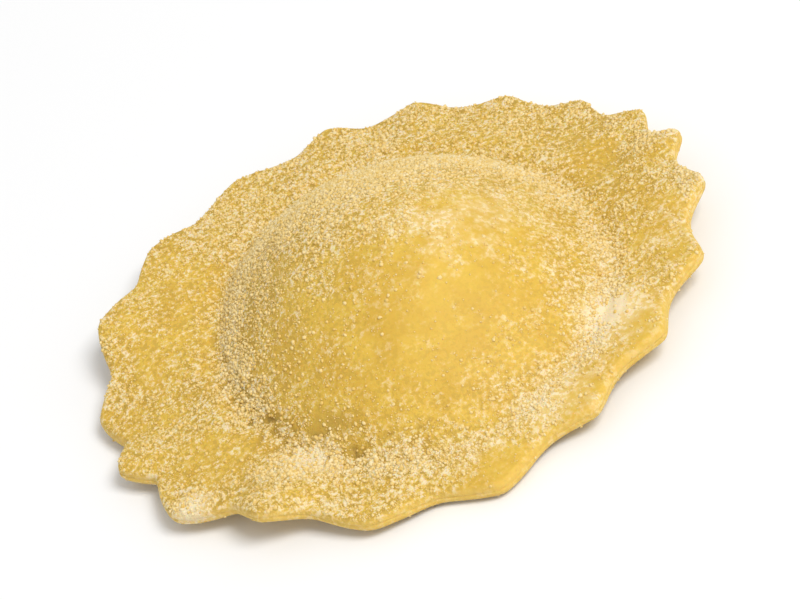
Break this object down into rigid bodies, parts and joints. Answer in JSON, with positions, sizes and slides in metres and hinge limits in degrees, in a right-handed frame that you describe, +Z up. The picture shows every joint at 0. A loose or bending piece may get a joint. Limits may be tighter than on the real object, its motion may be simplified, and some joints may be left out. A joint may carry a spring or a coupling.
{
  "type": "ravioli",
  "caption": "Round fresh raviolo with a fluted edge: a soft mound of filling under a pressed sheet of egg pasta, dusted with semolina.",
  "frame": {"origin": "on the surface it lies on, under the middle of the box round its outline", "axes": "+X along its longer way across, +Y across, +Z up out of the mound of filling"},
  "size_m": [0.0696, 0.064, 0.0154],
  "materials": {
    "egg_pasta": "matte, dusted with semolina"
  },
  "bodies": {
    "root": {"raviolo": "egg_pasta"}
  },
  "joints": []
}
